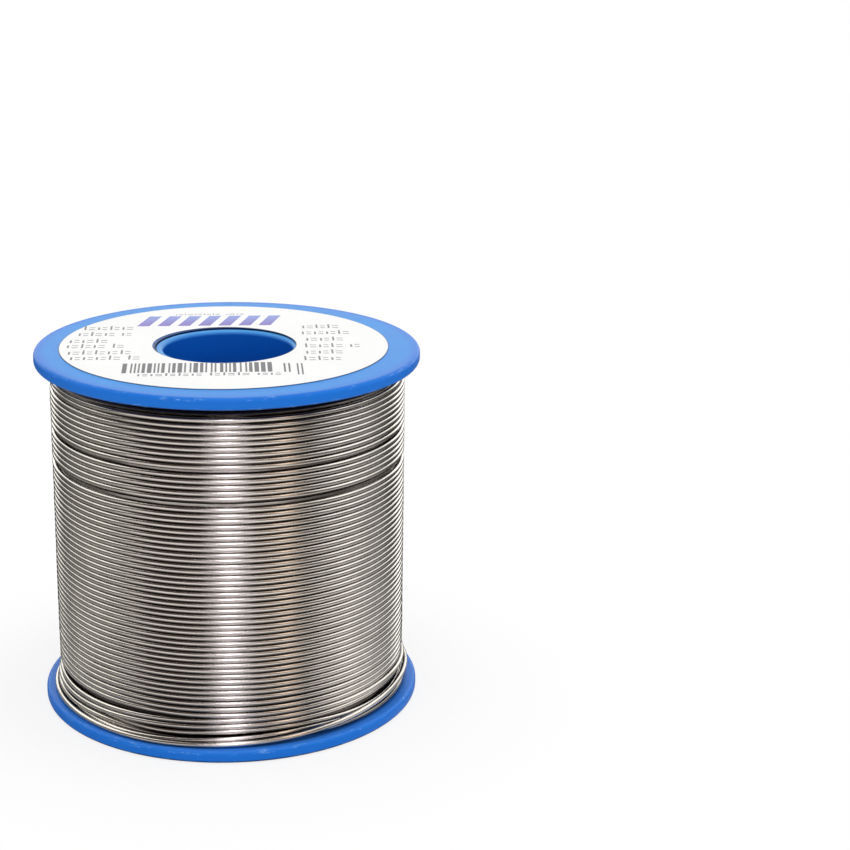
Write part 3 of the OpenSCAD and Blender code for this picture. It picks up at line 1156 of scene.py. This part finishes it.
ROOM_R = 1.2
room_finish, _, start = new_finish("mirrored_room", {"Roughness": 1.0})
room_tones = tones(
    start,
    [
        (-180, (1.5, 1.5, 1.48)),
        (-145, (2.0, 2.0, 1.92)),
        (-120, (1.55, 1.55, 1.48)),
        (-92, (1.95, 1.93, 1.82)),
        (-81, (0.38, 0.34, 0.31)),
        (-73, (0.10, 0.082, 0.073)),
        (-64, (0.070, 0.055, 0.048)),
        (-38, (0.060, 0.045, 0.040)),
        (-25, (0.20, 0.165, 0.155)),
        (-15, (0.66, 0.60, 0.62)),
        (-9, (0.82, 0.77, 0.82)),
        (-4, (1.36, 1.24, 1.35)),
        (1, (1.28, 1.17, 1.28)),
        (8, (0.94, 0.88, 0.93)),
        (14, (0.58, 0.53, 0.53)),
        (20, (0.42, 0.37, 0.35)),
        (26, (0.22, 0.185, 0.17)),
        (31, (0.22, 0.185, 0.165)),
        (37, (1.45, 1.06, 0.78)),
        (42, (1.05, 0.79, 0.60)),
        (49, (0.10, 0.085, 0.078)),
        (55, (0.11, 0.095, 0.088)),
        (62, (0.40, 0.38, 0.36)),
        (69, (1.08, 1.05, 1.01)),
        (82, (1.85, 1.82, 1.78)),
        (104, (1.70, 1.68, 1.65)),
        (116, (1.10, 1.09, 1.06)),
        (140, (1.9, 1.9, 1.85)),
        (180, (1.5, 1.5, 1.48)),
    ],
)
round_at, x, _, z = bearing(start)
height = z * (MM / ROOM_R)
beside = abs(round_at).between(24.0, 38.0)
on_left = (-round_at).between(45.0, 75.0)
on_right = round_at.between(45.0, 60.0)
left_front = on_left * (-round_at).between(108.0, 84.0)
sill = on_left * 0.12 + left_front * 0.10 + on_right * 0.05
low_down = 1 - (height - sill).between(0.13, 0.40)
behind = (abs(round_at) + round_at * 0.05).between(125.0, 148.0)
room_shade = low_down * beside * (1 - behind) * 0.92
room_colour = room_shade.mix(room_tones, (0.09, 0.085, 0.08))
# The window: a narrow bright pane above eye level, its glow and what of it shows overhead
across = abs(round_at - WINDOW_AT)
pane = (1 - across.between(0.4, 3.0)) * height.between(0.22, 0.80)
room_colour = pane.mix(room_colour, (17.0, 15.7, 17.0))
overhead = (1 - abs(x).between(30.0, 90.0)) * height.between(0.88, 0.97)
room_colour = overhead.mix(room_colour, (9.0, 8.3, 9.0))
sky = (1 - across.between(7.0, 19.0)) * height.between(0.50, 0.95) * 0.60
room_colour = sky.mix(room_colour, (2.0, 1.88, 2.0))
# The warm wall's upper part, which leans to the right
leaning = round_at - 37.0 - height.between(0.72, 0.97) * 34.0
upper_wall = 1 - abs(leaning).between(3.0, 8.0)
upper_wall = upper_wall * height.between(0.45, 0.75)
room_colour = upper_wall.mix(room_colour, (2.0, 1.62, 1.34))
# A pale bench edge, low down on the left of the front
bench = (-round_at).between(16.0, 28.0) * (round_at + 74.0).between(0.0, 14.0)
bench = bench * (1 - height.between(0.10, 0.42))
room_colour = (bench * 0.80).mix(room_colour, (0.95, 0.87, 0.84))
glow = start.node("ShaderNodeEmission", (), {"Color": room_colour, "Strength": 1.0})
start.feed(room_finish.node_tree.nodes["Material Output"].inputs[0], glow)


def room_mesh(bm, radius=ROOM_R, columns=72, rows=12, bottom=0.1, top=88.0):
    """A dome round the reel, open at its top, between two heights in degrees."""
    rings = []
    for k in range(columns):
        a = 2 * math.pi * k / columns
        rings.append([])
        for j in range(rows + 1):
            e = math.radians(bottom + (top - bottom) * j / rows)
            out = radius * math.cos(e)
            rings[-1].append(
                bm.verts.new((out * math.sin(a), -out * math.cos(a), radius * math.sin(e)))
            )
    for k in range(columns):
        here, there = rings[k], rings[(k + 1) % columns]
        for j in range(rows):
            bm.faces.new((here[j], there[j], there[j + 1], here[j + 1]))


room = plain_mesh("mirrored_room", room_mesh, room_finish)
room.visible_camera = False
room.visible_diffuse = False
room.visible_transmission = False
room.visible_shadow = False

world = bpy.data.worlds.new("studio_world")
bpy.context.scene.world = world
world.use_nodes = True
start = Value(world.node_tree)
background = world.node_tree.nodes["Background"]
start.feed(background.inputs["Color"], (1.0, 1.0, 1.0))
start.feed(background.inputs["Strength"], 0.45 + 0.55 * seen_directly(start))


def soft_light(name, at, size, power):
    """A rectangular soft box at a place in metres, turned towards the reel's middle."""
    lamp = bpy.data.lights.new(name, "AREA")
    lamp.shape = "RECTANGLE"
    lamp.size, lamp.size_y = size
    lamp.energy = power
    box = placed(name, lamp)
    box.location = at
    aim = Vector((0.0, 0.0, OVERALL_H / 2 * MM)) - Vector(at)
    box.rotation_euler = aim.to_track_quat("-Z", "Y").to_euler()
    box.visible_glossy = False


soft_light("overhead_box", (0.05, -0.12, 0.75), (0.5, 0.4), 1.9)
soft_light("front_box", (0.02, -0.75, 0.30), (0.3, 0.3), 1.1)
soft_light("left_box", (-0.65, 0.15, 0.45), (0.4, 0.4), 0.5)
soft_light("right_box", (0.65, 0.05, 0.45), (0.4, 0.4), 0.8)

# The camera, with its angles in radians and its focal length in the frame's pixels
CAMERA_AT = Vector((0.0, -279.66, 125.16)) * MM
CAMERA_YAW, CAMERA_PITCH, CAMERA_ROLL = 0.10161, 0.29387, 0.01542
FOCAL_PX, FRAME_PX = 2005.59, 850
eye = bpy.data.cameras.new("camera")
eye.sensor_width = 36.0
eye.lens = FOCAL_PX / FRAME_PX * eye.sensor_width
eye.clip_start, eye.clip_end = 0.01, 20.0
camera = placed("camera", eye)
forward = Vector(
    (
        math.sin(CAMERA_YAW) * math.cos(CAMERA_PITCH),
        math.cos(CAMERA_YAW) * math.cos(CAMERA_PITCH),
        -math.sin(CAMERA_PITCH),
    )
)
level = Vector((math.cos(CAMERA_YAW), -math.sin(CAMERA_YAW), 0.0))
upward = level.cross(forward)
c, s = math.cos(CAMERA_ROLL), math.sin(CAMERA_ROLL)
camera_x, camera_y = c * level + s * upward, c * upward - s * level
camera.matrix_world = Matrix.Translation(CAMERA_AT) @ Matrix(
    (camera_x, camera_y, -forward)
).transposed().to_4x4()
bpy.context.scene.camera = camera
bpy.context.scene.view_settings.view_transform = "Standard"
